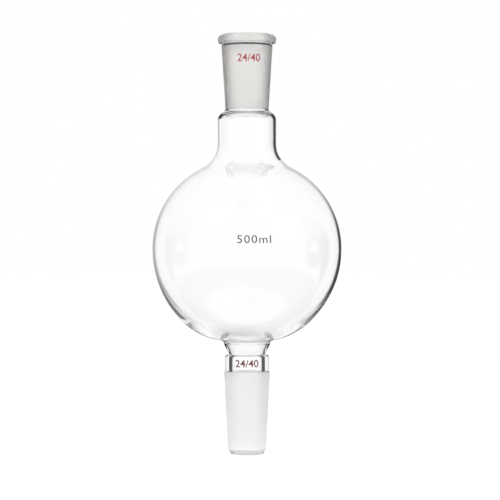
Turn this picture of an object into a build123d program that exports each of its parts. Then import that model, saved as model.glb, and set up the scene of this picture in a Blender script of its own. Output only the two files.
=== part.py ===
from build123d import *
import math
import os

# Chromatography solvent reservoir: a round bulb with a 24/40 ground joint at each end, blown and fused
# from borosilicate glass as one body of revolution. Millimetres, +Z up, axis on Z. The origin is the
# gauge plane of the lower joint, the level where its ground cone has the joint's full diameter.
# The half section is drawn as (radius, height) and turned about the axis.

# ---- Ground joints, 24/40 at both ends --------------------------------------------------------------
joint_wide_dia = 24.0  # at the wide end of the ground cone
joint_ground_length = 40.0  # wide end to narrow end
joint_taper = 0.1  # on the diameter, for each millimetre of length

# ---- Lower joint: an inner cone that plugs into a column --------------------------------------------
plug_wall = 2.25  # at the narrow end, and so the size of the straight drain bore
tip_length = 2.8  # below the narrow end
tip_polished_length = 2.5  # fire-polished end of the tip, where the wall thins
tip_edge_wall = 1.1
tip_edge_share = 0.45  # rounding of the tip's two edges, as a share of the wall there
cone_shoulder_rounding = 1.0  # ground cone into the polished tip
collar_inset = 0.45  # clear collar, smaller in radius than the ground cone
collar_height = 9.2
collar_rounding = 1.2
cone_step_height = 0.4  # where the collar swells to meet the ground cone

# ---- Waist, stem and funnel, between the collar and the bulb ----------------------------------------
waist_wall = 1.9
waist_height = 0.4  # above the collar
waist_rounding = 0.3
stem_swell = 2.5  # waist to full stem, in radius
stem_swell_height = 5.2
stem_swell_rounding = 1.4
stem_length = 5.9  # collar to the lowest point of the bulb
stem_rounding = 1.6  # stem into the bulb, outside
funnel_flare = 5.25  # drain bore to the wide end of the funnel, in radius
funnel_rounding = 1.2  # funnel into the bulb, inside
funnel_foot_rounding = 2.0

# ---- Bulb: slimmer than a sphere above its equator, and fuller below it, where the glass gathered -----
bulb_dia = 99.5
bulb_wall = 1.5
bulb_upper_arc = 47.4  # radius of the outline from the equator up
bulb_lower_arc = 53.2  # radius of the outline from the equator down to the heel
bulb_heel_angle = 47.0  # degrees below the equator at which the heel starts
bulb_heel_arc = 35.8

# ---- Neck and its shoulder --------------------------------------------------------------------------
neck_dia = 30.8
neck_wall = 1.5
neck_length = 67.35  # equator of the bulb to the start of the shoulder
neck_rounding = 14.0  # bulb into the neck, outside
shoulder_rounding = 5.0

# ---- Upper joint: an outer cone that takes the next piece, with a bead round its mouth ---------------
socket_clear_length = 0.3  # shoulder to the narrow end of the ground cone
socket_foot_wall = 1.3
socket_foot_rounding = 2.0
socket_lip_rounding = 1.0  # inside, where the neck narrows to the socket
socket_head_wall = 1.75
socket_head_rounding = 0.8
groove_depth = 0.7  # below the bead
groove_width = 1.1
bead_overhang = 1.85  # beyond the socket's wall, in radius
bead_height = 4.6
bead_top_rounding = 2.5
bead_foot_rounding = 0.7
rim_edge_rounding = 0.4

# ---- Radii that follow ------------------------------------------------------------------------------
cone_slope = joint_taper / 2
joint_wide_r = joint_wide_dia / 2
joint_narrow_r = joint_wide_r - cone_slope * joint_ground_length
drain_r = joint_narrow_r - plug_wall
tip_edge_r = drain_r + tip_edge_wall
collar_r = joint_wide_r - collar_inset
waist_r = drain_r + waist_wall
stem_r = waist_r + stem_swell
funnel_wide_r = drain_r + funnel_flare
bulb_r = bulb_dia / 2
bulb_inner_r = bulb_r - bulb_wall
neck_r = neck_dia / 2
neck_inner_r = neck_r - neck_wall

# ---- Heights that follow, from the tip up ------------------------------------------------------------
tip_z = -(joint_ground_length + tip_length)
polish_z = tip_z + tip_polished_length
waist_z = collar_height + waist_height
stem_z = waist_z + stem_swell_height
bulb_z = collar_height + stem_length + bulb_r
shoulder_z = bulb_z + neck_length
socket_foot_z = shoulder_z + shoulder_rounding
socket_narrow_z = socket_foot_z + socket_clear_length
rim_z = socket_narrow_z + joint_ground_length
bead_z = rim_z - bead_height
groove_z = bead_z - groove_width

UPRIGHT = Vector(0, 1)
bulb_centre = Vector(0, bulb_z)
equator = Vector(bulb_r, bulb_z)
inner_equator = Vector(bulb_inner_r, bulb_z)
upper_centre = equator - Vector(bulb_upper_arc, 0)
lower_centre = equator - Vector(bulb_lower_arc, 0)
heel_slant = math.radians(bulb_heel_angle)
heel_run = Vector(math.cos(heel_slant), -math.sin(heel_slant))
heel_start = lower_centre + heel_run * bulb_lower_arc
heel_centre = heel_start - heel_run * bulb_heel_arc
shoulder_centre = Vector(neck_r - shoulder_rounding, shoulder_z)


def corner_round(before, corner, after, radius):
    """Start, middle and end of the arc that rounds a corner between two straight runs."""
    back = (before - corner).normalized()
    ahead = (after - corner).normalized()
    half = math.radians(back.get_angle(ahead)) / 2
    reach = radius / math.tan(half)
    middle = corner + (back + ahead).normalized() * (radius / math.sin(half) - radius)
    return corner + back * reach, middle, corner + ahead * reach


def rounded_corners(before, corners, after):
    """Steps of an outline through (corner, rounding) pairs, between the points before and after them."""
    points = [before] + [corner for corner, rounding in corners] + [after]
    steps = []
    for i, (corner, rounding) in enumerate(corners, start=1):
        if rounding:
            steps.append(corner_round(points[i - 1], corner, points[i + 1], rounding))
        else:
            steps.append((corner,))
    return steps


def wall_round(foot, along, centre, arc_r, radius, side):
    """Points of the arc that blends a straight wall into a round one: straight end, middle, round end.

    The straight wall passes through foot and rises along the unit vector along. The round wall has its
    centre at centre and the radius arc_r. The blend's own centre lies its radius outside the straight
    wall and arc_r + radius from the round wall's centre, above that centre if side is 1, below if -1.
    """
    outward = Vector(along.Y, -along.X)
    offset = foot + outward * radius - centre
    climb = -along.dot(offset)
    spread = math.sqrt(climb**2 - offset.length**2 + (arc_r + radius) ** 2)
    hub = centre + offset + along * (climb + side * spread)
    straight_end = hub - outward * radius
    round_end = centre + (hub - centre).normalized() * arc_r
    middle = hub + ((straight_end - hub) + (round_end - hub)).normalized() * radius
    return straight_end, middle, round_end


def arc_about(centre, start, end):
    """Start, middle and end of the arc from start to end round a centre, the short way."""
    middle = (start - centre).normalized() + (end - centre).normalized()
    return start, centre + middle.normalized() * (start - centre).length, end


def turned_back(arc):
    """The same arc, drawn from its other end."""
    return arc[2], arc[1], arc[0]


def closed_outline(steps):
    """Edges of a closed outline whose steps are corners, of one point, or arcs, of three."""
    edges = []
    here = steps[-1][-1]
    for step in steps:
        if (step[0] - here).length > 1e-6:
            edges.append(Line(here, step[0]))
        if len(step) == 3:
            edges.append(ThreePointArc(*step))
        here = step[-1]
    return edges


# Blends between the round walls and the straight ones, outside and inside.
stem_blend = wall_round(
    Vector(stem_r, stem_z), UPRIGHT, heel_centre, bulb_heel_arc, stem_rounding, -1
)
neck_blend = wall_round(
    Vector(neck_r, bulb_z), UPRIGHT, upper_centre, bulb_upper_arc, neck_rounding, 1
)
inner_neck_blend = wall_round(
    Vector(neck_inner_r, bulb_z),
    UPRIGHT,
    upper_centre,
    bulb_upper_arc - bulb_wall,
    neck_rounding + neck_wall,
    1,
)

funnel_foot = Vector(drain_r, waist_z)
funnel_wide_z = bulb_z - math.sqrt(bulb_inner_r**2 - funnel_wide_r**2)
funnel_run = (Vector(funnel_wide_r, funnel_wide_z) - funnel_foot).normalized()
funnel_blend = wall_round(
    funnel_foot, funnel_run, bulb_centre, bulb_inner_r, funnel_rounding, -1
)

socket_foot = Vector(joint_narrow_r + socket_foot_wall, socket_foot_z)
socket_head_r = joint_wide_r - cone_slope * (rim_z - groove_z) + socket_head_wall
socket_head = Vector(socket_head_r, groove_z)
socket_run = (socket_head - socket_foot).normalized()
socket_blend = wall_round(
    socket_foot, socket_run, shoulder_centre, shoulder_rounding, socket_foot_rounding, 1
)
shoulder_inner_r = shoulder_rounding - neck_wall
lip_blend = wall_round(
    Vector(joint_narrow_r, shoulder_z),
    UPRIGHT,
    shoulder_centre,
    shoulder_inner_r,
    socket_lip_rounding,
    1,
)


def lower_joint_outside():
    """Tip, ground cone, clear collar, waist and stem, from the bottom up."""
    land_middle = Vector((drain_r + tip_edge_r) / 2, tip_z)
    polish_r = joint_wide_r + cone_slope * polish_z
    corners = [
        (Vector(tip_edge_r, tip_z), tip_edge_wall * tip_edge_share),
        (Vector(polish_r, polish_z), cone_shoulder_rounding),
        (Vector(joint_wide_r, 0), 0),
        (Vector(joint_wide_r, cone_step_height / 2), 0),
        (Vector(collar_r, cone_step_height), 0),
        (Vector(collar_r, collar_height), collar_rounding),
        (Vector(waist_r, collar_height), waist_rounding),
        (Vector(waist_r, waist_z), waist_rounding),
        (Vector(stem_r, stem_z), stem_swell_rounding),
    ]
    return [(land_middle,)] + rounded_corners(land_middle, corners, stem_blend[0])


def bulb_and_neck_outside():
    """Bulb, neck and shoulder, from the stem up to the upper joint."""
    neck_top = Vector(neck_r, shoulder_z)
    return [
        stem_blend,
        arc_about(heel_centre, stem_blend[2], heel_start),
        arc_about(lower_centre, heel_start, equator),
        arc_about(upper_centre, equator, neck_blend[2]),
        turned_back(neck_blend),
        arc_about(shoulder_centre, neck_top, socket_blend[2]),
        turned_back(socket_blend),
    ]


def upper_joint():
    """Socket wall, groove and bead up to the rim, and the ground cone down inside it."""
    bead_r = socket_head_r + bead_overhang
    groove_r = socket_head_r - groove_depth
    corners = [
        (socket_head, socket_head_rounding),
        (Vector(groove_r, (groove_z + bead_z) / 2), 0),
        (Vector(groove_r, bead_z), 0),
        (Vector(bead_r, bead_z), bead_foot_rounding),
        (Vector(bead_r, rim_z), bead_top_rounding),
        (Vector(joint_wide_r, rim_z), rim_edge_rounding),
        (Vector(joint_narrow_r, socket_narrow_z), 0),
    ]
    return rounded_corners(socket_blend[0], corners, lip_blend[0])


def bulb_and_neck_inside():
    """Lip below the socket, shoulder, neck and bulb, from the top down to the funnel."""
    neck_top = Vector(neck_inner_r, shoulder_z)
    return [
        lip_blend,
        arc_about(shoulder_centre, lip_blend[2], neck_top),
        inner_neck_blend,
        arc_about(upper_centre, inner_neck_blend[2], inner_equator),
        arc_about(bulb_centre, inner_equator, funnel_blend[2]),
        turned_back(funnel_blend),
    ]


def drain_inside():
    """Funnel and straight drain bore, down to the tip."""
    land_middle = Vector((drain_r + tip_edge_r) / 2, tip_z)
    corners = [
        (funnel_foot, funnel_foot_rounding),
        (Vector(drain_r, tip_z), tip_edge_wall * tip_edge_share),
    ]
    return rounded_corners(funnel_blend[0], corners, land_middle)


def glass_reservoir():
    """The whole vessel, turned from its half section."""
    steps = (
        lower_joint_outside()
        + bulb_and_neck_outside()
        + upper_joint()
        + bulb_and_neck_inside()
        + drain_inside()
    )
    half_section = make_face(closed_outline(steps))
    return revolve(Plane.XZ * half_section, Axis.Z, 360)


os.makedirs("parts", exist_ok=True)
reservoir = glass_reservoir()
reservoir.label = "glass_reservoir"
export_step(reservoir, "parts/glass_reservoir.step")
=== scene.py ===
import logging
import math
from dataclasses import dataclass, field
from enum import Enum

import bmesh
import bpy
import numpy as np
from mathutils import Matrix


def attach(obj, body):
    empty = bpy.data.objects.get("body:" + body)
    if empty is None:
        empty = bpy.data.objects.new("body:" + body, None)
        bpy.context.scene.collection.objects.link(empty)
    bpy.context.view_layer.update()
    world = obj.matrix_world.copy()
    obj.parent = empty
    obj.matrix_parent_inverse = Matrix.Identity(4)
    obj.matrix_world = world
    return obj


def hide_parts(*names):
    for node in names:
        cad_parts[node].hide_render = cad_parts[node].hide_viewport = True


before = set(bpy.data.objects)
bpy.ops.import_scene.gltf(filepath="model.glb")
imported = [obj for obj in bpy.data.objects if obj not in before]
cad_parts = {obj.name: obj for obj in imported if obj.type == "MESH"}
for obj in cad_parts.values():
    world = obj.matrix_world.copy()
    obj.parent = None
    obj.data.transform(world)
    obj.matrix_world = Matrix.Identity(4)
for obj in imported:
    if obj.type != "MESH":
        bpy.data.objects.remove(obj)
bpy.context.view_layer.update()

# Chromatography solvent reservoir, blown and fused from borosilicate glass as one body: a round bulb
# with a ground socket on its neck and a ground cone below. The body is turned about Z from a half section
# in (radius, height). Sizes are in millimetres up to the moment that points go into a mesh, which is in
# metres. The origin is the gauge plane of the lower cone.

log = logging.getLogger("reservoir")

MM = 0.001
NODE = "glass_reservoir"
BODY = "root"


class Zone(Enum):
    """The finish of a stretch of the glass, or for the groove the near-black glass that paints in the shade
    under the bead; the value is its place in the material list.
    """

    CLEAR = 0
    GROUND_SOCKET = 1
    GROUND_CONE = 2
    PAINTED_SHADE_GROOVE = 3


class Side(Enum):
    """Which wall of the glass a stretch of the outline belongs to."""

    OUTSIDE = 0
    INSIDE = 1


def point(radius: float, height: float) -> np.ndarray:
    """A point of the half section."""
    return np.array([radius, height], float)


def unit(vector: np.ndarray) -> np.ndarray:
    """The vector at length one."""
    return vector / np.hypot(*vector)


def smooth_step(values: np.ndarray, start: float, end: float) -> np.ndarray:
    """Rises from 0 at start to 1 at end as 3t^2 - 2t^3, with t the share of the way."""
    share = np.clip((values - start) / (end - start), 0, 1)
    return share * share * (3 - 2 * share)


def wall_blend(
    foot: np.ndarray,
    along: np.ndarray,
    centre: np.ndarray,
    arc_r: float,
    radius: float,
    side: int,
) -> tuple[np.ndarray, np.ndarray, np.ndarray]:
    """The arc that blends a straight wall into a round one.

    The blend's centre lies its radius outside the straight wall, and arc_r + radius from the round wall's
    centre, so both tangents agree where it meets them.

    Args:
        foot: A point of the straight wall.
        along: The unit vector up the straight wall.
        centre: The centre of the round wall.
        arc_r: The radius of the round wall.
        radius: The radius of the blend.
        side: 1 if the blend is above the round wall's centre, -1 if below.

    Returns:
        Its end on the straight wall, its centre, and its end on the round wall.
    """
    outward = point(along[1], -along[0])
    offset = foot + outward * radius - centre
    climb = -along @ offset
    spread = math.sqrt(climb**2 - offset @ offset + (arc_r + radius) ** 2)
    hub = centre + offset + along * (climb + side * spread)
    return hub - outward * radius, hub, centre + unit(hub - centre) * arc_r


@dataclass
class OutlinePen:
    """Draws a closed half section as points, each with the zone and side of the run that leaves it."""

    here: np.ndarray
    straight_step: float = 4.0
    arc_step: float = 1.6
    arc_turn: float = math.radians(10)
    points: list[np.ndarray] = field(default_factory=list)
    zones: list[int] = field(default_factory=list)
    sides: list[int] = field(default_factory=list)
    side: Side = Side.OUTSIDE

    def put(self, run: np.ndarray, zone: Zone) -> None:
        """Adds the points of a run, which leave out its end."""
        self.points.append(run)
        self.zones += [zone.value] * len(run)
        self.sides += [self.side.value] * len(run)

    def line(self, end: np.ndarray, zone: Zone = Zone.CLEAR) -> None:
        """A straight run to end: the start plus even shares of the way.

        Args:
            end: Where the run stops.
            zone: The finish of the run.
        """
        length = np.hypot(*(end - self.here))
        if length < 1e-6:
            return
        share = np.arange(max(1, math.ceil(length / self.straight_step)))
        share = (share / len(share))[:, None]
        self.put(self.here + share * (end - self.here), zone)
        self.here = end

    def arc(self, hub: np.ndarray, end: np.ndarray, zone: Zone = Zone.CLEAR) -> None:
        """An arc about hub to end, the short way: hub + radius (cos a, sin a), a in even steps.

        Args:
            hub: The centre of the arc.
            end: Where the arc stops.
            zone: The finish of the arc.
        """
        first = math.atan2(*(self.here - hub)[::-1])
        turn = math.remainder(math.atan2(*(end - hub)[::-1]) - first, math.tau)
        radius = np.hypot(*(self.here - hub))
        count = max(
            math.ceil(abs(turn) / self.arc_turn),
            math.ceil(abs(turn) * radius / self.arc_step),
        )
        angle = first + turn * np.arange(count) / count
        run = hub + radius * np.column_stack((np.cos(angle), np.sin(angle)))
        self.put(run, zone)
        self.here = end

    def corner(
        self,
        at: np.ndarray,
        after: np.ndarray,
        radius: float,
        zone: Zone = Zone.CLEAR,
        bend_zone: Zone = Zone.CLEAR,
    ) -> None:
        """A straight run towards a corner and the arc that rounds it.

        Args:
            at: The corner.
            after: Where the outline goes next, straight from the corner.
            radius: The rounding.
            zone: The finish of the straight run.
            bend_zone: The finish of the arc.
        """
        back, ahead = unit(self.here - at), unit(after - at)
        half = math.acos(float(np.clip(back @ ahead, -1, 1))) / 2
        reach = radius / math.tan(half)
        self.line(at + back * reach, zone)
        hub = at + unit(back + ahead) * radius / math.sin(half)
        self.arc(hub, at + ahead * reach, bend_zone)


@dataclass(frozen=True)
class LowerJoint:
    """Inner ground cone that plugs into a column, with its polished tip, clear collar, waist and stem."""

    wide_r: float = 12.0
    slope: float = 0.05
    ground_length: float = 40.0
    wall: float = 2.25
    tip_length: float = 2.8
    tip_polished_length: float = 2.5
    tip_edge_wall: float = 1.1
    tip_edge_share: float = 0.45
    shoulder_rounding: float = 1.0
    step_height: float = 0.4
    collar_inset: float = 0.45
    collar_height: float = 9.2
    collar_rounding: float = 1.2
    waist_wall: float = 1.9
    waist_height: float = 0.4
    waist_rounding: float = 0.1
    stem_swell: float = 2.5
    stem_swell_height: float = 5.2
    stem_swell_rounding: float = 1.4
    stem_length: float = 5.9
    stem_rounding: float = 1.6
    funnel_flare: float = 5.25
    funnel_rounding: float = 1.2
    funnel_foot_rounding: float = 12.0

    @property
    def drain_r(self) -> float:
        """Radius of the straight drain bore."""
        return self.wide_r - self.slope * self.ground_length - self.wall

    @property
    def tip_z(self) -> float:
        """Height of the tip's end."""
        return -(self.ground_length + self.tip_length)

    @property
    def waist_z(self) -> float:
        """Height of the top of the waist."""
        return self.collar_height + self.waist_height

    @property
    def waist_r(self) -> float:
        """Radius of the waist."""
        return self.drain_r + self.waist_wall

    @property
    def stem_r(self) -> float:
        """Radius of the stem above its swell."""
        return self.waist_r + self.stem_swell

    @property
    def stem_z(self) -> float:
        """Height at which the stem has its full radius."""
        return self.waist_z + self.stem_swell_height

    @property
    def land_middle(self) -> np.ndarray:
        """Middle of the flat end of the tip."""
        return point(self.drain_r + self.tip_edge_wall / 2, self.tip_z)

    def draw_outside(self, pen: OutlinePen, blend_start: np.ndarray) -> None:
        """Draws the tip, ground cone, collar, waist and stem, upwards.

        Args:
            pen: The pen, at the middle of the tip's flat end.
            blend_start: Where the blend into the bulb starts on the stem.
        """
        polish_z = self.tip_z + self.tip_polished_length
        polish = point(self.wide_r + self.slope * polish_z, polish_z)
        edge = point(self.drain_r + self.tip_edge_wall, self.tip_z)
        collar_r = self.wide_r - self.collar_inset
        collar_top = point(collar_r, self.collar_height)
        waist_foot = point(self.waist_r, self.collar_height)
        waist_top = point(self.waist_r, self.waist_z)
        stem_top = point(self.stem_r, self.stem_z)
        pen.corner(edge, polish, self.tip_edge_wall * self.tip_edge_share)
        pen.corner(polish, point(self.wide_r, 0), self.shoulder_rounding)
        pen.line(point(self.wide_r, 0), Zone.GROUND_CONE)
        pen.line(point(self.wide_r, self.step_height / 2), Zone.GROUND_CONE)
        pen.line(point(collar_r, self.step_height), Zone.GROUND_CONE)
        pen.corner(collar_top, waist_foot, self.collar_rounding)
        pen.corner(waist_foot, waist_top, self.waist_rounding)
        pen.corner(waist_top, stem_top, self.waist_rounding)
        pen.corner(stem_top, blend_start, self.stem_swell_rounding)
        pen.line(blend_start)

    def draw_drain(self, pen: OutlinePen, from_point: np.ndarray) -> None:
        """Draws the funnel and the straight bore, downwards.

        Args:
            pen: The pen, where the funnel leaves the blend into the bulb.
            from_point: That place.
        """
        pen.line(from_point)
        bore_end = point(self.drain_r, self.tip_z)
        pen.corner(point(self.drain_r, self.waist_z), bore_end, self.funnel_foot_rounding)
        pen.corner(bore_end, self.land_middle, self.tip_edge_wall * self.tip_edge_share)
        pen.line(self.land_middle)


@dataclass(frozen=True)
class UpperJoint:
    """Outer ground socket with its foot on the shoulder, a groove, and a bead round the mouth."""

    wide_r: float = 12.0
    slope: float = 0.05
    ground_length: float = 40.0
    clear_length: float = 0.3
    foot_wall: float = 1.3
    foot_rounding: float = 2.0
    lip_rounding: float = 1.0
    head_wall: float = 1.75
    head_rounding: float = 1.1
    groove_depth: float = 0.7
    groove_width: float = 1.1
    bead_overhang: float = 1.85
    bead_height: float = 4.6
    bead_top_rounding: float = 2.5
    bead_foot_rounding: float = 0.7
    rim_edge_rounding: float = 0.4

    @property
    def narrow_r(self) -> float:
        """Radius of the narrow end of the ground socket."""
        return self.wide_r - self.slope * self.ground_length

    def rim_z(self, foot_z: float) -> float:
        """Height of the rim above a socket foot at foot_z."""
        return foot_z + self.clear_length + self.ground_length

    def head(self, foot_z: float) -> np.ndarray:
        """Top outer corner of the socket's wall, under the groove."""
        below_rim = self.bead_height + self.groove_width
        radius = self.wide_r - self.slope * below_rim + self.head_wall
        return point(radius, self.rim_z(foot_z) - below_rim)

    def draw(self, pen: OutlinePen, foot_z: float, lip_start: np.ndarray) -> None:
        """Draws the socket's wall, groove and bead up to the rim, and the ground socket down inside.

        Args:
            pen: The pen, where the wall leaves the blend into the shoulder.
            foot_z: Height of the socket's foot.
            lip_start: Where the lip's blend starts, below the ground socket.
        """
        rim_z = self.rim_z(foot_z)
        bead_z = rim_z - self.bead_height
        head = self.head(foot_z)
        groove_r = head[0] - self.groove_depth
        bead_r = head[0] + self.bead_overhang
        middle = point(groove_r, (head[1] + bead_z) / 2)
        rim_outer, rim_inner = point(bead_r, rim_z), point(self.wide_r, rim_z)
        narrow = point(self.narrow_r, foot_z + self.clear_length)
        # The groove gets the near-black glass: painted shade under the bead.
        pen.corner(head, middle, self.head_rounding, bend_zone=Zone.PAINTED_SHADE_GROOVE)
        pen.line(middle, Zone.PAINTED_SHADE_GROOVE)
        pen.line(point(groove_r, bead_z))
        pen.corner(point(bead_r, bead_z), rim_outer, self.bead_foot_rounding)
        pen.corner(rim_outer, rim_inner, self.bead_top_rounding)
        pen.corner(rim_inner, narrow, self.rim_edge_rounding)
        pen.side = Side.INSIDE
        pen.line(narrow, Zone.GROUND_SOCKET)
        pen.line(lip_start)


@dataclass(frozen=True)
class BlownShape:
    """How the hand-blown glass departs from a true body of revolution, in millimetres.

    The lean moves a little of the glass gathered below the equator to one side of the outer wall. The
    waves are slow and shallow, and both walls have their own.
    """

    lean: float = 0.25
    lean_top: float = -15.0
    lean_full: float = -40.0
    lean_fade: float = -60.0
    lean_end: float = -80.0
    wave: float = 0.07
    wave_seed: int = 24

    def leaning(self, azimuth: np.ndarray, latitude: np.ndarray) -> np.ndarray:
        """The lean: -cos(azimuth), full between two latitudes.

        Args:
            azimuth: Angle round the axis, in radians.
            latitude: Angle above the equator as seen from the bulb's centre, in degrees.

        Returns:
            Outward offset, in millimetres.
        """
        rise = 1 - smooth_step(latitude, self.lean_full, self.lean_top)
        fall = smooth_step(latitude, self.lean_end, self.lean_fade)
        return -self.lean * rise * fall * np.cos(azimuth)

    def waves(self, azimuth: np.ndarray, height: np.ndarray, wall: int) -> np.ndarray:
        """A sum of slow sines round and along the glass, never above zero.

        Args:
            azimuth: Angle round the axis, in radians.
            height: Height, in millimetres.
            wall: Which wall, so that each has its own phases.

        Returns:
            Offset, in millimetres.
        """
        draw = np.random.default_rng(self.wave_seed + wall)
        phases = draw.uniform(0, math.tau, (5, 2))
        total = np.zeros(np.broadcast(azimuth, height).shape)
        for turns, (about, up) in enumerate(phases, start=1):
            total += np.sin(turns * azimuth + about) * np.sin(height / (31 - 4 * turns) + up) / turns
        return self.wave * (total / 2.3 - 1) / 2


@dataclass(frozen=True)
class Bulb:
    """Round bulb with its straight neck and the shoulder under the upper joint."""

    outer_r: float = 49.75
    wall: float = 1.5
    upper_arc: float = 47.4
    lower_arc: float = 53.2
    heel_angle: float = math.radians(47)
    heel_arc: float = 35.8
    neck_outer_r: float = 15.4
    neck_wall: float = 1.5
    neck_length: float = 67.35
    neck_rounding: float = 14.0
    shoulder_rounding: float = 5.0

    @property
    def inner_r(self) -> float:
        """Radius of the inside."""
        return self.outer_r - self.wall

    @property
    def neck_inner_r(self) -> float:
        """Radius of the neck's inside."""
        return self.neck_outer_r - self.neck_wall


@dataclass
class GlassBody:
    """The whole vessel, as one closed shell turned from its half section."""

    lower: LowerJoint = field(default_factory=LowerJoint)
    upper: UpperJoint = field(default_factory=UpperJoint)
    bulb: Bulb = field(default_factory=Bulb)
    blown: BlownShape = field(default_factory=BlownShape)
    segments: int = 256
    sharp_above: float = math.radians(28)

    def __post_init__(self) -> None:
        """Works out the heights that follow from the three parts."""
        self.centre_z = self.lower.collar_height + self.lower.stem_length + self.bulb.outer_r
        self.shoulder_z = self.centre_z + self.bulb.neck_length
        self.foot_z = self.shoulder_z + self.bulb.shoulder_rounding
        self.pen = self.half_section()
        self.profile = np.concatenate(self.pen.points)

    def half_section(self) -> OutlinePen:
        """Draws the closed outline: up the outside from the tip, then down the inside.

        Returns:
            The pen that holds its points.
        """
        low, bulb, top = self.lower, self.bulb, self.upper
        up = point(0, 1)
        centre = point(0, self.centre_z)
        equator = point(bulb.outer_r, self.centre_z)
        upper = equator - point(bulb.upper_arc, 0)
        lower = equator - point(bulb.lower_arc, 0)
        heel_run = point(math.cos(bulb.heel_angle), -math.sin(bulb.heel_angle))
        heel_start = lower + heel_run * bulb.lower_arc
        heel = heel_start - heel_run * bulb.heel_arc
        stem = wall_blend(
            point(low.stem_r, low.stem_z), up, heel, bulb.heel_arc, low.stem_rounding, -1
        )
        neck = wall_blend(
            point(bulb.neck_outer_r, self.centre_z), up, upper, bulb.upper_arc, bulb.neck_rounding, 1
        )
        neck_inside = wall_blend(
            point(bulb.neck_inner_r, self.centre_z),
            up,
            upper,
            bulb.upper_arc - bulb.wall,
            bulb.neck_rounding + bulb.neck_wall,
            1,
        )
        funnel_foot = point(low.drain_r, low.waist_z)
        wide_r = low.drain_r + low.funnel_flare
        wide_z = self.centre_z - math.sqrt(bulb.inner_r**2 - wide_r**2)
        funnel_run = unit(point(wide_r, wide_z) - funnel_foot)
        funnel = wall_blend(
            funnel_foot, funnel_run, centre, bulb.inner_r, low.funnel_rounding, -1
        )
        hub = point(bulb.neck_outer_r - bulb.shoulder_rounding, self.shoulder_z)
        socket_foot = point(top.narrow_r + top.foot_wall, self.foot_z)
        socket_run = unit(top.head(self.foot_z) - socket_foot)
        foot = wall_blend(
            socket_foot, socket_run, hub, bulb.shoulder_rounding, top.foot_rounding, 1
        )
        lip = wall_blend(
            point(top.narrow_r, self.shoulder_z),
            up,
            hub,
            bulb.shoulder_rounding - bulb.neck_wall,
            top.lip_rounding,
            1,
        )
        pen = OutlinePen(low.land_middle)
        low.draw_outside(pen, stem[0])
        pen.arc(stem[1], stem[2])
        pen.arc(heel, heel_start)
        pen.arc(lower, equator)
        pen.arc(upper, neck[2])
        pen.arc(neck[1], neck[0])
        pen.line(point(bulb.neck_outer_r, self.shoulder_z))
        pen.arc(hub, foot[2])
        pen.arc(foot[1], foot[0])
        top.draw(pen, self.foot_z, lip[0])
        pen.arc(lip[1], lip[2])
        pen.arc(hub, point(bulb.neck_inner_r, self.shoulder_z))
        pen.line(neck_inside[0])
        pen.arc(neck_inside[1], neck_inside[2])
        pen.arc(upper, point(bulb.inner_r, self.centre_z))
        pen.arc(centre, funnel[2])
        pen.arc(funnel[1], funnel[0])
        low.draw_drain(pen, funnel[0])
        return pen

    def offsets(self, azimuth: np.ndarray) -> np.ndarray:
        """How far each point of the grid leaves the true body of revolution, along its normal.

        Only the blown part moves: bulb, neck and stem. The joints are turned and ground to size.

        Args:
            azimuth: Angles round the axis, in radians.

        Returns:
            Outward offset from the glass, one row for each outline point, in millimetres.
        """
        radius, height = self.profile[:, :1], self.profile[:, 1:]
        side = np.array(self.pen.sides)[:, None]
        latitude = np.degrees(np.arctan2(height - self.centre_z, radius))
        blown = smooth_step(height, self.lower.stem_z - 1, self.lower.stem_z + 6)
        blown = blown * (1 - smooth_step(height, self.shoulder_z - 6, self.shoulder_z + 1))
        waves = np.where(
            side == Side.OUTSIDE.value,
            self.blown.waves(azimuth, height, Side.OUTSIDE.value),
            self.blown.waves(azimuth, height, Side.INSIDE.value),
        )
        lean = self.blown.leaning(azimuth, latitude) * (side == Side.OUTSIDE.value)
        return blown * (waves + lean)

    def mesh(self) -> bpy.types.Mesh:
        """Turns the half section about Z.

        The surface is (r cos a, r sin a, z) for each outline point (r, z) and each angle a, after the
        point has moved along the outline's own normal by offsets(). Outline and angle both close on
        themselves, so the shell has no seam and no pole.

        Returns:
            The finished mesh, in metres.
        """
        rows, columns = len(self.profile), self.segments
        azimuth = (np.arange(columns) * math.tau / columns)[None, :]
        ahead = np.roll(self.profile, -1, axis=0) - np.roll(self.profile, 1, axis=0)
        ahead /= np.linalg.norm(ahead, axis=1, keepdims=True)
        offset = self.offsets(azimuth)
        radius = self.profile[:, :1] + ahead[:, 1:] * offset
        height = self.profile[:, 1:] - ahead[:, :1] * offset
        grid = np.stack((radius * np.cos(azimuth), radius * np.sin(azimuth), height), axis=2)
        row, column = np.meshgrid(np.arange(rows), np.arange(columns), indexing="ij")
        next_row, next_column = (row + 1) % rows, (column + 1) % columns
        faces = np.stack(
            (
                row * columns + column,
                row * columns + next_column,
                next_row * columns + next_column,
                next_row * columns + column,
            ),
            axis=2,
        )
        mesh = bpy.data.meshes.new(NODE)
        mesh.from_pydata((grid * MM).reshape(-1, 3).tolist(), [], faces.reshape(-1, 4).tolist())
        mesh.polygons.foreach_set("material_index", np.repeat(self.pen.zones, columns))
        mesh.polygons.foreach_set("use_smooth", np.ones(rows * columns, bool))
        mesh.set_sharp_from_angle(angle=self.sharp_above)
        mesh.update()
        return mesh

    def outside_radius(self, azimuth: np.ndarray, height: np.ndarray) -> np.ndarray:
        """Radius of the outer wall, by linear steps along the outline between its widest points.

        Args:
            azimuth: Angles round the axis, in radians.
            height: Heights, in millimetres.

        Returns:
            Radius at each place, in millimetres.
        """
        outer = np.array(self.pen.sides) == Side.OUTSIDE.value
        climbing = outer & (self.profile[:, 1] > self.lower.tip_z + 1)
        order = np.argsort(self.profile[climbing, 1], kind="stable")
        levels, radii = self.profile[climbing][order].T[::-1]
        plain = np.interp(height, levels, radii)
        blown = self.blown.waves(azimuth, height, Side.OUTSIDE.value)
        in_bulb = np.abs(height - self.centre_z) < self.bulb.outer_r
        return plain + np.where(in_bulb, blown, 0)

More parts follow.
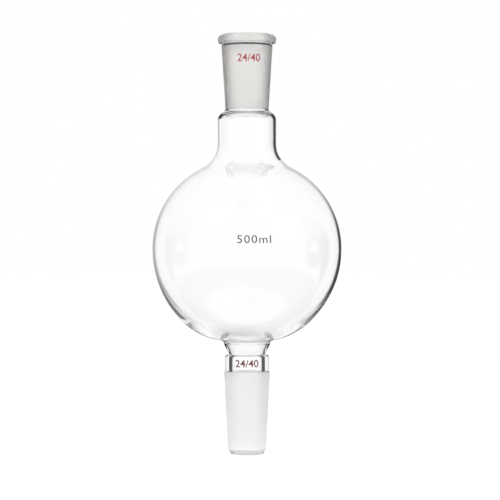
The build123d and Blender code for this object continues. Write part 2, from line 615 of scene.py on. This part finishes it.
    def build(self, finishes: list[bpy.types.Material]) -> bpy.types.Object:
        """Makes the vessel and puts it in the CAD node's place.

        Args:
            finishes: One material for each Zone, in order.

        Returns:
            The vessel.
        """
        mesh = self.mesh()
        for finish in finishes:
            mesh.materials.append(finish)
        vessel = in_scene("blown_glass", mesh)
        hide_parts(NODE)
        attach(vessel, BODY)
        log.info("%s: %d outline points, %d faces", vessel.name, len(self.profile), len(mesh.polygons))
        return vessel


@dataclass(frozen=True)
class SizeMark:
    """A size printed on the glass in fired enamel, bent to the surface that it is on.

    The flat letters are cut upright every bend_step, and each point (u, v, w) then goes to the azimuth
    -90 degrees + u / r, the height v and the radius r + w, with r the outer radius of the glass there.
    """

    name: str
    words: str
    width: float
    height: float
    across: float
    up: float
    spacing: float = 1.0
    weight: float = 0.0
    thickness: float = 0.045
    sunk: float = 0.015
    bend_step: float = 0.45

    def flat_letters(self) -> bpy.types.Mesh:
        """Sets the words in the plain built-in face and turns them into a mesh.

        Returns:
            The letters, lying in X and Y, with their thickness along Z.
        """
        curve = bpy.data.curves.new(self.name, "FONT")
        curve.body = self.words
        curve.space_character = self.spacing
        curve.offset = self.weight
        curve.extrude = 0.1
        curve.resolution_u = 6
        setting = in_scene(self.name, curve)
        graph = bpy.context.evaluated_depsgraph_get()
        mesh = bpy.data.meshes.new_from_object(setting.evaluated_get(graph))
        bpy.data.objects.remove(setting)
        bpy.data.curves.remove(curve)
        return mesh

    def build(self, glass: GlassBody, ink: bpy.types.Material) -> bpy.types.Object:
        """Bends the letters onto the glass.

        Args:
            glass: The vessel that carries them.
            ink: The enamel's material.

        Returns:
            The mark.
        """
        mesh = self.flat_letters()
        places = np.empty(len(mesh.vertices) * 3)
        mesh.vertices.foreach_get("co", places)
        places = places.reshape(-1, 3)
        low, size = places.min(0), np.ptp(places, axis=0)
        places = (places - low) / size - 0.5
        places *= (self.width, self.height, self.thickness)
        mesh.vertices.foreach_set("co", places.ravel())
        shape = bmesh.new()
        shape.from_mesh(mesh)
        bmesh.ops.remove_doubles(shape, verts=shape.verts, dist=1e-5)
        for cut in np.arange(-self.width / 2, self.width / 2, self.bend_step)[1:]:
            every = [*shape.verts, *shape.edges, *shape.faces]
            bmesh.ops.bisect_plane(shape, geom=every, plane_co=(cut, 0, 0), plane_no=(1, 0, 0))
        bmesh.ops.triangulate(shape, faces=shape.faces)
        bmesh.ops.recalc_face_normals(shape, faces=shape.faces)
        shape.to_mesh(mesh)
        shape.free()
        places = np.empty(len(mesh.vertices) * 3)
        mesh.vertices.foreach_get("co", places)
        across, up, out = (places.reshape(-1, 3) + (self.across, self.up, 0)).T
        middle_r = glass.outside_radius(np.array([-math.pi / 2]), np.array([self.up]))[0]
        azimuth = across / middle_r - math.pi / 2
        radius = glass.outside_radius(azimuth, up) + out + self.thickness / 2 - self.sunk
        wrapped = np.column_stack((radius * np.cos(azimuth), radius * np.sin(azimuth), up))
        mesh.vertices.foreach_set("co", (wrapped * MM).ravel())
        mesh.materials.clear()
        mesh.materials.append(ink)
        mesh.update()
        mark = in_scene(self.name, mesh)
        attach(mark, BODY)
        log.info("%s: %d faces", mark.name, len(mesh.polygons))
        return mark


class NodeBoard:
    """Adds and wires the nodes of one tree."""

    def __init__(self, tree: bpy.types.NodeTree) -> None:
        """Starts from an empty tree."""
        self.tree = tree
        tree.nodes.clear()

    def add(self, kind: str, sockets: dict | None = None, **settings: object) -> bpy.types.Node:
        """Adds a node.

        Args:
            kind: Its type, without the ShaderNode prefix.
            sockets: Input values by socket name or number; an output socket is wired instead.
            settings: The node's own settings.

        Returns:
            The node.
        """
        node = self.tree.nodes.new(kind if kind.startswith("Node") else "ShaderNode" + kind)
        for name, value in settings.items():
            setattr(node, name, value)
        for name, value in (sockets or {}).items():
            if isinstance(value, bpy.types.NodeSocket):
                self.tree.links.new(value, node.inputs[name])
            else:
                node.inputs[name].default_value = value
        return node

    def math(self, operation: str, first: object, second: object = 0.0) -> bpy.types.NodeSocket:
        """One Math node's result."""
        return self.add("Math", {0: first, 1: second}, operation=operation).outputs[0]

    def square(self, value: object) -> bpy.types.NodeSocket:
        """A number times itself."""
        return self.math("MULTIPLY", value, value)

    def blend(self, share: object, first: object, second: object) -> bpy.types.NodeSocket:
        """A number that goes from first to second with share."""
        sockets = {0: share, 2: first, 3: second}
        return self.add("Mix", sockets, data_type="FLOAT").outputs[0]

    def tint(self, share: object, first: tuple, second: tuple) -> bpy.types.NodeSocket:
        """A colour that goes from first to second with share."""
        sockets = {0: share, 6: (*first, 1), 7: (*second, 1)}
        return self.add("Mix", sockets, data_type="RGBA").outputs[2]

    def ramp(
        self, value: object, start: float, end: float, low: float = 0.0, high: float = 1.0
    ) -> bpy.types.NodeSocket:
        """A smooth rise from low at start to high at end, flat beyond both."""
        sockets = {"Value": value, 1: start, 2: end, 3: low, 4: high}
        return self.add("MapRange", sockets, interpolation_type="SMOOTHSTEP").outputs[0]

    def noise(self, vector: object, scale: float, detail: float = 2.0) -> bpy.types.NodeSocket:
        """Fractal noise from 0 to 1."""
        return self.add("TexNoise", {"Vector": vector, "Scale": scale, "Detail": detail}).outputs[0]

    def spread(self, value: object, low: float, high: float) -> bpy.types.NodeSocket:
        """Noise of about 0.3 to 0.7 carried to the range from low to high."""
        sockets = {"Value": value, 1: 0.3, 2: 0.7, 3: low, 4: high}
        return self.add("MapRange", sockets).outputs[0]


def in_scene(name: str, data: bpy.types.ID) -> bpy.types.Object:
    """A new object with this data, linked to the scene."""
    made = bpy.data.objects.new(name, data)
    bpy.context.scene.collection.objects.link(made)
    return made


def own_tree(name: str) -> tuple[bpy.types.Material, NodeBoard]:
    """A new material and the board for its nodes."""
    material = bpy.data.materials.new(name)
    material.use_nodes = True
    return material, NodeBoard(material.node_tree)


class GrindingMarks:
    """Node group of the fine grain that the abrasive leaves, with rings from the turning of the joint."""

    def __init__(self) -> None:
        """Builds the group once; each ground finish places it with its own values."""
        tree = bpy.data.node_groups.new("grinding_marks", "ShaderNodeTree")
        for name, kind, way in (
            ("Coordinates", "NodeSocketVector", "INPUT"),
            ("Grain", "NodeSocketFloat", "INPUT"),
            ("Ring Share", "NodeSocketFloat", "INPUT"),
            ("Smoothest", "NodeSocketFloat", "INPUT"),
            ("Roughest", "NodeSocketFloat", "INPUT"),
            ("Roughness", "NodeSocketFloat", "OUTPUT"),
            ("Height", "NodeSocketFloat", "OUTPUT"),
        ):
            tree.interface.new_socket(name, in_out=way, socket_type=kind)
        board = NodeBoard(tree)
        given = board.add("NodeGroupInput").outputs
        grain = board.add(
            "TexNoise", {"Vector": given["Coordinates"], "Scale": given["Grain"], "Detail": 3.0}
        ).outputs[0]
        flat = board.add(
            "Mapping", {"Vector": given["Coordinates"], "Scale": (60.0, 60.0, 2600.0)}
        ).outputs[0]
        rings = board.noise(flat, 1.0, 1.0)
        patches = board.noise(given["Coordinates"], 90.0, 3.0)
        height = board.blend(given["Ring Share"], grain, rings)
        worn = board.add("MapRange", {"Value": patches, 1: 0.3, 2: 0.7, 3: given["Smoothest"]})
        board.tree.links.new(given["Roughest"], worn.inputs[4])
        out = board.add("NodeGroupOutput")
        board.tree.links.new(worn.outputs[0], out.inputs["Roughness"])
        board.tree.links.new(height, out.inputs["Height"])
        self.tree = tree


@dataclass(frozen=True)
class ClearGlass:
    """Fire-polished borosilicate glass: smooth, almost colourless, with slow waves left by the blowing."""

    name: str = "clear_glass"
    thin: tuple[float, float, float] = (0.99, 0.99, 0.99)
    gathered: tuple[float, float, float] = (0.975, 0.978, 0.978)
    ior: float = 1.473
    wave_scale: float = 26.0
    wave_depth: float = 0.00025
    wave_strength: float = 0.10
    film: float = 0.02

    def material(self) -> bpy.types.Material:
        """Builds the material.

        Returns:
            The finish of the blown surfaces.
        """
        made, board = own_tree(self.name)
        place = board.add("TexCoord").outputs["Object"]
        slow = board.noise(place, self.wave_scale, 1.0)
        cloud = board.noise(place, 60.0, 3.0)
        tint = board.tint(board.spread(slow, 0.0, 1.0), self.thin, self.gathered)
        bump = board.add(
            "Bump",
            {"Strength": self.wave_strength, "Distance": self.wave_depth, "Height": slow},
        )
        skin = board.add(
            "BsdfPrincipled",
            {
                "Base Color": tint,
                "Roughness": board.spread(cloud, 0.0, self.film),
                "IOR": self.ior,
                "Transmission Weight": 1.0,
                "Normal": bump.outputs[0],
            },
        )
        board.add("OutputMaterial", {"Surface": skin.outputs[0]})
        return made


@dataclass(frozen=True)
class GroundGlass:
    """Glass ground with abrasive: frosted, pale, with a fine grain and faint turning rings."""

    name: str
    pale: tuple[float, float, float]
    dull: tuple[float, float, float]
    smoothest: float
    roughest: float
    clearness: float
    ior: float = 1.473
    grain: float = 3500.0
    ring_share: float = 0.35
    depth: float = 0.00004
    strength: float = 0.35

    def material(self, marks: GrindingMarks) -> bpy.types.Material:
        """Builds the material.

        Args:
            marks: The shared group of grain and rings.

        Returns:
            The finish of one ground surface.
        """
        made, board = own_tree(self.name)
        place = board.add("TexCoord").outputs["Object"]
        sockets = {
            "Coordinates": place,
            "Grain": self.grain,
            "Ring Share": self.ring_share,
            "Smoothest": self.smoothest,
            "Roughest": self.roughest,
        }
        group = board.add("Group", sockets, node_tree=marks.tree)
        cloud = board.noise(place, 45.0, 3.0)
        tint = board.tint(board.spread(cloud, 0.0, 1.0), self.pale, self.dull)
        bump = board.add(
            "Bump",
            {"Strength": self.strength, "Distance": self.depth, "Height": group.outputs["Height"]},
        )
        skin = board.add(
            "BsdfPrincipled",
            {
                "Base Color": tint,
                "Roughness": group.outputs["Roughness"],
                "IOR": self.ior,
                "Transmission Weight": self.clearness,
                "Normal": bump.outputs[0],
            },
        )
        board.add("OutputMaterial", {"Surface": skin.outputs[0]})
        return made


@dataclass(frozen=True)
class FiredEnamel:
    """Ceramic ink fired onto the glass: dull, and thinner and browner in places."""

    name: str
    full: tuple[float, float, float]
    thin: tuple[float, float, float]
    grain: float = 2600.0

    def material(self) -> bpy.types.Material:
        """Builds the material.

        Returns:
            The finish of one printed mark.
        """
        made, board = own_tree(self.name)
        place = board.add("TexCoord").outputs["Object"]
        specks = board.noise(place, self.grain, 3.0)
        tint = board.tint(board.spread(specks, 0.0, 1.0), self.full, self.thin)
        bump = board.add("Bump", {"Strength": 0.3, "Distance": 0.00002, "Height": specks})
        skin = board.add(
            "BsdfPrincipled",
            {
                "Base Color": tint,
                "Roughness": board.spread(specks, 0.38, 0.6),
                "Normal": bump.outputs[0],
            },
        )
        board.add("OutputMaterial", {"Surface": skin.outputs[0]})
        return made


class Tone(Enum):
    """What a stretch of a panel shows to mirrored light."""

    WHITE = 0
    DARK = 1


class Quarter(Enum):
    """The side of the object that a panel stands on, as quarter turns about Z from the far side."""

    FAR = 0
    LEFT = 1
    NEAR = 2
    RIGHT = 3


ALL_ROUND = tuple(Quarter)
FAR_AND_NEAR = (Quarter.FAR, Quarter.NEAR)
BOTH_SIDES = (Quarter.LEFT, Quarter.RIGHT)


@dataclass(frozen=True)
class Panel:
    """An upright panel at the distance far from the axis, repeated on some sides, in metres.

    It is half wide to each side of its middle. A white_half makes it white that far and dark beyond.
    """

    low: float
    high: float
    sides: tuple[Quarter, ...]
    far: float
    half: float
    tone: Tone
    white_half: float = 0.0

    @property
    def cuts(self) -> tuple[float, ...]:
        """Places across it where a stretch starts or ends."""
        inner = (-self.white_half, self.white_half) if self.white_half else ()
        return (-self.half, *inner, self.half)

    @property
    def shades(self) -> list[int]:
        """The tone of each stretch."""
        tones = (Tone.DARK, Tone.WHITE, Tone.DARK) if self.white_half else (self.tone,)
        return [tone.value for tone in tones]


# The dark ones draw the edges of the collar, stem, neck, shoulder and socket, from below upwards. The white
# ones keep the tip and the collar bright.
PANELS = (
    Panel(-0.1, -0.03, ALL_ROUND, 0.03, 0.03, Tone.WHITE),
    Panel(-0.004, 0.0085, BOTH_SIDES, 0.0145, 0.008, Tone.DARK),
    Panel(-0.003, 0.0085, ALL_ROUND, 0.03, 0.0285, Tone.WHITE),
    Panel(0.0085, 0.0155, FAR_AND_NEAR, 0.0145, 0.0145, Tone.DARK, white_half=0.0112),
    Panel(0.0085, 0.0155, BOTH_SIDES, 0.0145, 0.0145, Tone.DARK),
    Panel(0.112, 0.137, (Quarter.RIGHT,), 0.018, 0.005, Tone.DARK),
    Panel(0.134, 0.142, FAR_AND_NEAR, 0.018, 0.018, Tone.DARK, white_half=0.012),
    Panel(0.134, 0.142, BOTH_SIDES, 0.018, 0.018, Tone.DARK),
    Panel(0.142, 0.18, BOTH_SIDES, 0.018, 0.01, Tone.DARK),
)


@dataclass(frozen=True)
class Studio:
    """White surround, pale floor, two soft lamps, panels near the joints, and the camera.

    It isn't a real room: what a ray sees depends on its kind. Light straight through the glass sees white,
    dimmer in a band above the level. Light mirrored on its way sees dark gaps, darker on the right, and
    the dark panels, which together draw the edges of the glass as the camera sees them.

    A pair such as near_edge holds the two values between which a ramp runs from nothing to full.
    """

    surround: float = 1.0
    through: float = 1.05
    ambient: float = 0.75
    mirror_loss: float = 0.1
    bounce_loss: float = 0.25
    free_bounces: float = 6.0
    dark_left: float = 0.45
    dark_right: float = 0.05
    near_edge: tuple[float, float] = (0.08, 0.16)
    near_drop: float = 0.6
    lean_edge: tuple[float, float] = (0.55, 0.42)
    lean_drop: float = 0.2
    skyline_top: tuple[float, float] = (0.03, 0.05)
    skyline_foot: tuple[float, float] = (0.3, 0.22)
    skyline_end: tuple[float, float] = (0.22, 0.16)
    fade_above: tuple[float, float] = (0.04, 0.28)
    faded_share: float = 0.35
    camera_side: tuple[float, float] = (-0.3, -0.1)
    left_to_right: tuple[float, float] = (-0.08, 0.08)
    steep_edge: tuple[float, float] = (0.0, 0.04)
    band_foot: tuple[float, float] = (0.3, 0.45)
    band_top: tuple[float, float] = (0.85, 0.75)
    band_level: float = 0.2
    floor_z: float = -0.0432
    floor_half: float = 8.0
    floor_glow: float = 0.8
    floor_albedo: float = 0.3
    lens: float = 146.4
    camera_place: tuple[float, float, float] = (0.00158, -1.07, 0.0642)

    def mirrored(self, board: NodeBoard) -> bpy.types.NodeSocket:
        """1 for light mirrored inside one wall of glass or off its outside, else 0."""
        path = board.add("LightPath").outputs
        once = board.math("GREATER_THAN", path["Glossy Depth"], 0.5)
        return board.math("MULTIPLY", once, board.math("LESS_THAN", path["Transmission Depth"], 2.5))

    def gaps(self, board: NodeBoard) -> tuple[bpy.types.NodeSocket, bpy.types.NodeSocket]:
        """The dark gaps between the lit areas of the room.

        With a the lesser of |x| and |y|, u = max(z, 0) and d = max(-z, 0), the first gap lies between
        hypot(a, u) - near_drop d at near_edge and hypot(a, z) - lean_drop d at lean_edge, and it fades
        upward. The second is a skyline just below the level. Neither lies on the camera's side.

        Returns:
            How much of a gap lies in the ray's direction, from 0 to 1, and the level of light in it.
        """
        toward = board.add("TexCoord").outputs["Generated"]
        x, y, z = board.add("SeparateXYZ", {0: toward}).outputs
        across = board.math("MINIMUM", board.math("ABSOLUTE", x), board.math("ABSOLUTE", y))
        above = board.math("MAXIMUM", z)
        below = board.math("SUBTRACT", above, z)
        lean = board.math("SQRT", board.math("ADD", board.square(across), board.square(z)))
        near = board.math("SQRT", board.math("ADD", board.square(across), board.square(above)))
        near = board.math("SUBTRACT", near, board.math("MULTIPLY", below, self.near_drop))
        lean = board.math("SUBTRACT", lean, board.math("MULTIPLY", below, self.lean_drop))
        near, lean = board.ramp(near, *self.near_edge), board.ramp(lean, *self.lean_edge)
        gap = board.math("MULTIPLY", near, lean)
        top, foot = board.ramp(below, *self.skyline_top), board.ramp(below, *self.skyline_foot)
        skyline = board.math("MULTIPLY", top, foot)
        skyline = board.math("MULTIPLY", skyline, board.ramp(across, *self.skyline_end))
        fade = board.ramp(above, *self.fade_above, 1, self.faded_share)
        gap = board.math("MAXIMUM", board.math("MULTIPLY", gap, fade), skyline)
        gap = board.math("MULTIPLY", gap, board.ramp(y, *self.camera_side))
        level = board.ramp(x, *self.left_to_right, self.dark_left, self.dark_right)
        steep = board.math("SUBTRACT", below, board.math("ABSOLUTE", x))
        return gap, board.blend(board.ramp(steep, *self.steep_edge), level, self.dark_right)

    def light_world(self) -> None:
        """Sets the world by kind of ray.

        Mirrored rays see the room with its gaps. The others see white, darker in a band above the level
        (band_foot to band_top) and for each bounce past free_bounces.
        """
        world = bpy.data.worlds.new("surround")
        bpy.context.scene.world = world
        world.use_nodes = True
        board = NodeBoard(world.node_tree)
        path = board.add("LightPath").outputs
        gap, dark = self.gaps(board)
        inside = board.math("GREATER_THAN", path["Transmission Depth"], 0.5)
        loss = board.math("MULTIPLY", inside, self.mirror_loss)
        lit = board.math("SUBTRACT", self.through, loss)
        mirror_level = board.blend(gap, lit, dark)
        extra = board.math("MAXIMUM", board.math("SUBTRACT", path["Ray Depth"], self.free_bounces))
        level = board.math("MULTIPLY", board.math("POWER", 1 - self.bounce_loss, extra), self.through)
        z = board.add("SeparateXYZ", {0: board.add("TexCoord").outputs["Generated"]}).outputs[2]
        band = board.math("MULTIPLY", board.ramp(z, *self.band_foot), board.ramp(z, *self.band_top))
        level = board.math("MULTIPLY", level, board.ramp(band, 0.0, 1.0, 1.0, self.band_level))
        level = board.blend(self.mirrored(board), level, mirror_level)
        level = board.blend(path["Is Diffuse Ray"], level, self.ambient)
        level = board.blend(path["Is Camera Ray"], level, self.surround)
        sky = board.add("Background", {"Color": (1, 1, 1, 1), "Strength": level})
        board.add("OutputWorld", {"Surface": sky.outputs[0]})

    def stand_panels(self) -> None:
        """Stands the panels round the joints, where only light out of the glass can see them.

        A white one is white to all such light. A dark one is dark only to light that was mirrored on its
        way. Each is a flat rectangle along u at the distance far, turned about Z by quarters.
        """
        places, shades = [], []
        for panel in PANELS:
            cuts, far = panel.cuts, panel.far
            for side in panel.sides:
                turn = side.value * math.pi / 2
                u = np.column_stack((cuts[:-1], cuts[1:], cuts[1:], cuts[:-1])).ravel()
                x = u * math.cos(turn) - far * math.sin(turn)
                y = u * math.sin(turn) + far * math.cos(turn)
                z = np.tile((panel.low, panel.low, panel.high, panel.high), len(panel.shades))
                places.append(np.column_stack((x, y, z)))
                shades += panel.shades
        mesh = bpy.data.meshes.new("panels")
        faces = np.arange(4 * len(shades)).reshape(-1, 4)
        mesh.from_pydata(np.concatenate(places).tolist(), [], faces.tolist())
        for name, level in (("panel_white", self.through), ("panel_dark", self.dark_right)):
            made, board = own_tree(name)
            level = board.blend(self.mirrored(board), self.through, level)
            glow = board.add("Emission", {"Color": (1, 1, 1, 1), "Strength": level}).outputs[0]
            board.add("OutputMaterial", {"Surface": glow})
            made.cycles.emission_sampling = "NONE"
            mesh.materials.append(made)
        mesh.polygons.foreach_set("material_index", shades)
        panels = in_scene("panels", mesh)
        panels.visible_camera = False
        panels.visible_diffuse = False
        panels.visible_shadow = False

    def lay_floor(self) -> None:
        """Lays the floor: white to the camera with the object's shadow, clear to rays out of the glass."""
        half, z = self.floor_half, self.floor_z
        mesh = bpy.data.meshes.new("floor")
        corners = [(-half, -half, z), (half, -half, z), (half, half, z), (-half, half, z)]
        mesh.from_pydata(corners, [], [(0, 1, 2, 3)])
        floor = in_scene("floor", mesh)
        made, board = own_tree("pale_floor")
        path = board.add("LightPath").outputs
        speck = board.noise(board.add("TexCoord").outputs["Object"], 14.0, 4.0)
        shade = board.spread(speck, self.floor_albedo * 0.97, self.floor_albedo)
        tint = board.add("CombineColor", {0: shade, 1: shade, 2: shade}).outputs[0]
        matt = board.add("BsdfDiffuse", {"Color": tint}).outputs[0]
        glow = board.add("Emission", {"Color": (1, 1, 1, 1), "Strength": self.floor_glow}).outputs[0]
        both = board.add("AddShader", {0: matt, 1: glow}).outputs[0]
        open_air = board.add("BsdfTransparent").outputs[0]
        glassy = board.math("MAXIMUM", path["Is Glossy Ray"], path["Is Transmission Ray"])
        seen = board.add("MixShader", {0: glassy, 1: both, 2: open_air}).outputs[0]
        board.add("OutputMaterial", {"Surface": seen})
        mesh.materials.append(made)

    def hang_lamp(self, name: str, place: tuple, size: float, power: float) -> None:
        """Hangs a square soft lamp that faces the middle of the object.

        Args:
            name: Its name.
            place: Where it hangs, in metres.
            size: Its side, in metres.
            power: Its power, in watts.
        """
        lamp = bpy.data.lights.new(name, "AREA")
        lamp.size = size
        lamp.energy = power
        hung = in_scene(name, lamp)
        offset = np.array(place) - (0, 0, self.camera_place[2])
        flat = math.hypot(offset[0], offset[1])
        hung.location = place
        hung.rotation_euler = (
            math.atan2(flat, offset[2]),
            0,
            math.atan2(offset[1], offset[0]) + math.pi / 2,
        )
        hung.visible_camera = False
        hung.visible_transmission = False

    def set_camera(self) -> None:
        """Puts the camera level with the bulb, looking along +Y."""
        lens = bpy.data.cameras.new("camera")
        lens.lens = self.lens
        lens.sensor_width = 36
        lens.clip_start, lens.clip_end = 0.01, 50
        camera = in_scene("camera", lens)
        camera.location = self.camera_place
        camera.rotation_euler = (math.pi / 2, 0, 0)
        bpy.context.scene.camera = camera

    def build(self) -> None:
        """Sets up everything that isn't the object."""
        scene = bpy.context.scene
        scene.view_settings.view_transform = "Standard"
        scene.cycles.max_bounces = 32
        scene.cycles.transmission_bounces = 32
        scene.cycles.glossy_bounces = 16
        scene.cycles.transparent_max_bounces = 32
        self.light_world()
        self.stand_panels()
        self.lay_floor()
        self.hang_lamp("key_lamp", (-0.8, -0.9, 1.0), 0.9, 7.0)
        self.hang_lamp("fill_lamp", (0.9, -0.7, 0.6), 0.9, 3.0)
        self.set_camera()
        log.info("studio: floor, two lamps, camera")


def main() -> None:
    """Builds the studio, the glass and its printed marks, in that order."""
    logging.basicConfig(level=logging.INFO, format="%(name)s: %(message)s")
    Studio().build()
    marks = GrindingMarks()
    socket = GroundGlass(
        "ground_socket",
        pale=(0.96, 0.945, 0.925),
        dull=(0.92, 0.9, 0.88),
        smoothest=0.39,
        roughest=0.52,
        clearness=0.87,
    )
    cone = GroundGlass(
        "ground_cone",
        pale=(0.98, 0.985, 0.985),
        dull=(0.95, 0.955, 0.955),
        smoothest=0.42,
        roughest=0.55,
        clearness=0.5,
    )
    glass = GlassBody()
    # Near-black glass in the groove: painted shade, standing in for the dark line that light trapped in the
    # groove leaves under the bead.
    groove = ClearGlass("groove_painted_shade", thin=(0.012, 0.012, 0.012), gathered=(0.02, 0.02, 0.02))
    finishes = [ClearGlass().material(), socket.material(marks), cone.material(marks)]
    glass.build([*finishes, groove.material()])
    crimson = FiredEnamel("crimson_enamel", full=(0.3, 0.03, 0.04), thin=(0.4, 0.08, 0.09)).material()
    maroon = FiredEnamel("maroon_enamel", full=(0.14, 0.025, 0.035), thin=(0.2, 0.06, 0.07)).material()
    plum = FiredEnamel("plum_enamel", full=(0.055, 0.025, 0.03), thin=(0.09, 0.05, 0.055)).material()
    for mark, ink in (
        (SizeMark("socket_mark", "24/40", 12.3, 4.0, across=1.05, up=164.4, weight=0.012), crimson),
        (SizeMark("bulb_mark", "500ml", 17.2, 4.0, across=3.7, up=69.65, spacing=1.15), plum),
        (SizeMark("cone_mark", "24/40", 12.5, 3.9, across=0.0, up=5.0, weight=0.012), maroon),
    ):
        mark.build(glass, ink)


if __name__ == "__main__":
    main()
